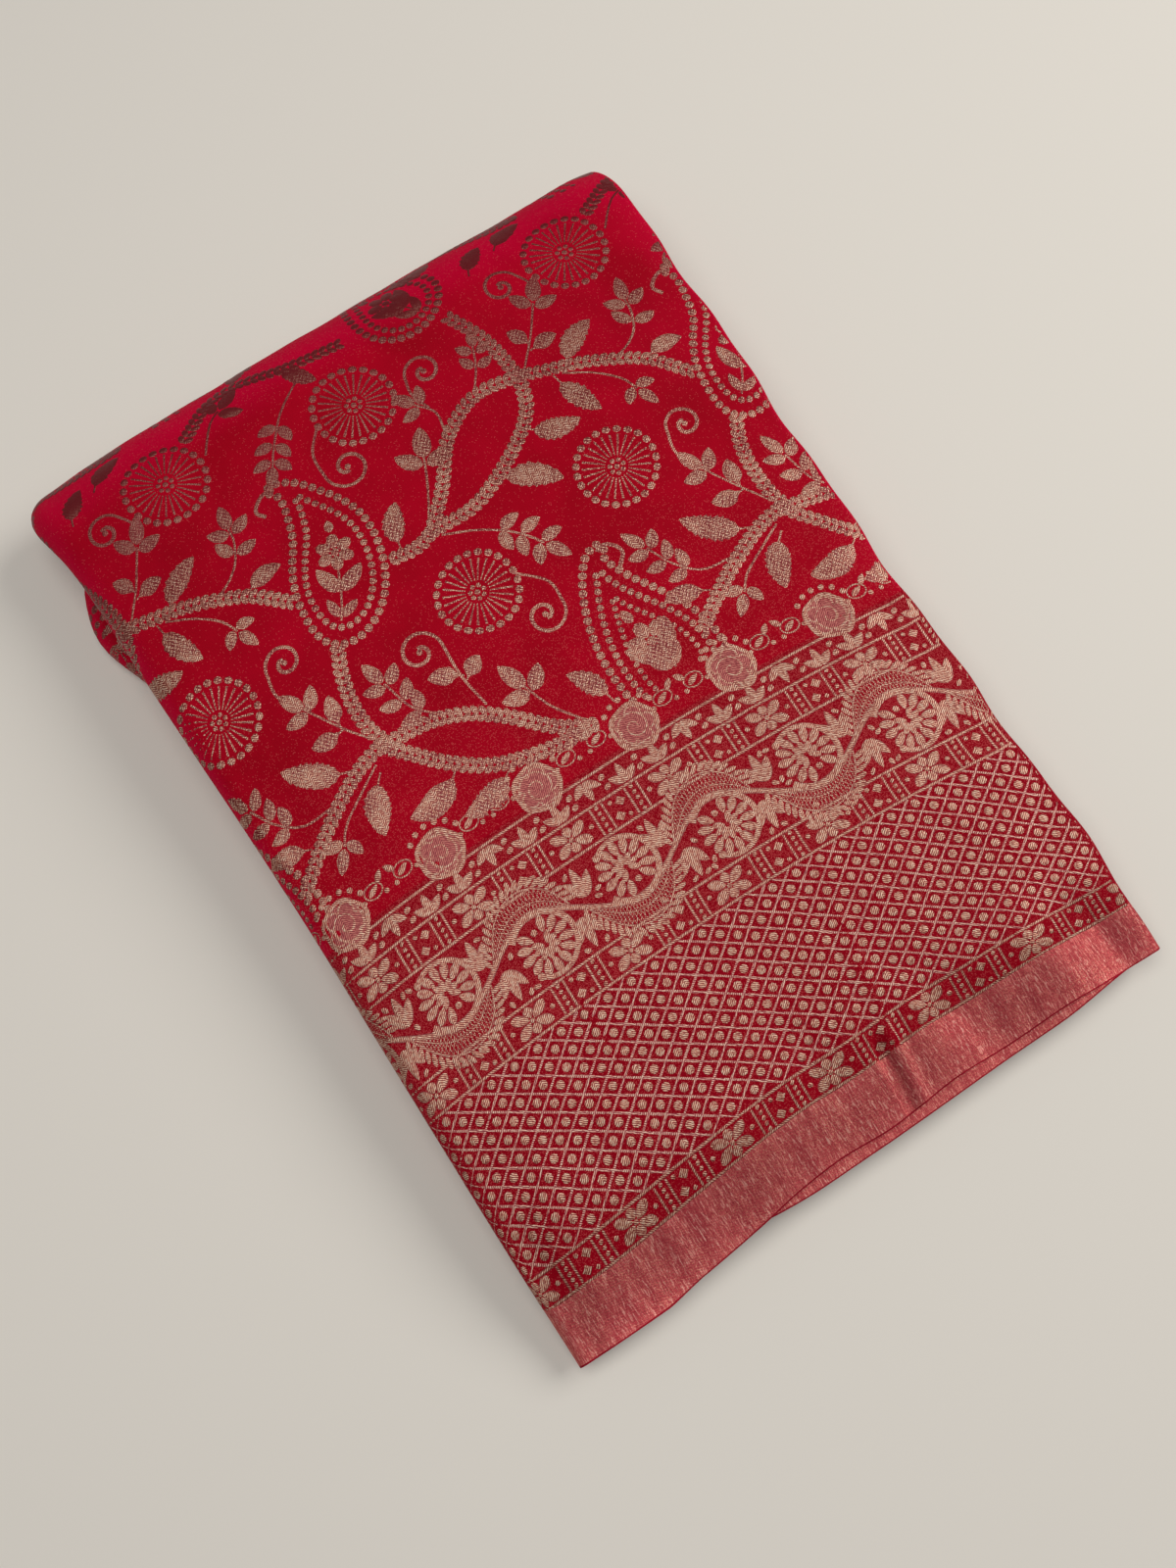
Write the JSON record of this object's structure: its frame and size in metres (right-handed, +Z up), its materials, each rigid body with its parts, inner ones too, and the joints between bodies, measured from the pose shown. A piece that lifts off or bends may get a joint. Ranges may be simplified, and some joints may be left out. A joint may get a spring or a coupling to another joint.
{
  "type": "folded georgette sari",
  "caption": "Long brocade sari pleated across and folded in three, its zari border and tissue selvedge on top at the near edge.",
  "frame": {"origin": "under the middle of the folded stack, on the surface that it lies on", "axes": "+X across the stack, along the sari's length; +Y from the selvedge hem to the far fold; +Z up"},
  "size_m": [0.2404, 0.3696, 0.0451],
  "materials": {
    "crimson_brocade": "matt crimson georgette with woven gold thread"
  },
  "bodies": {
    "root": {"sari": "crimson_brocade"}
  },
  "joints": []
}
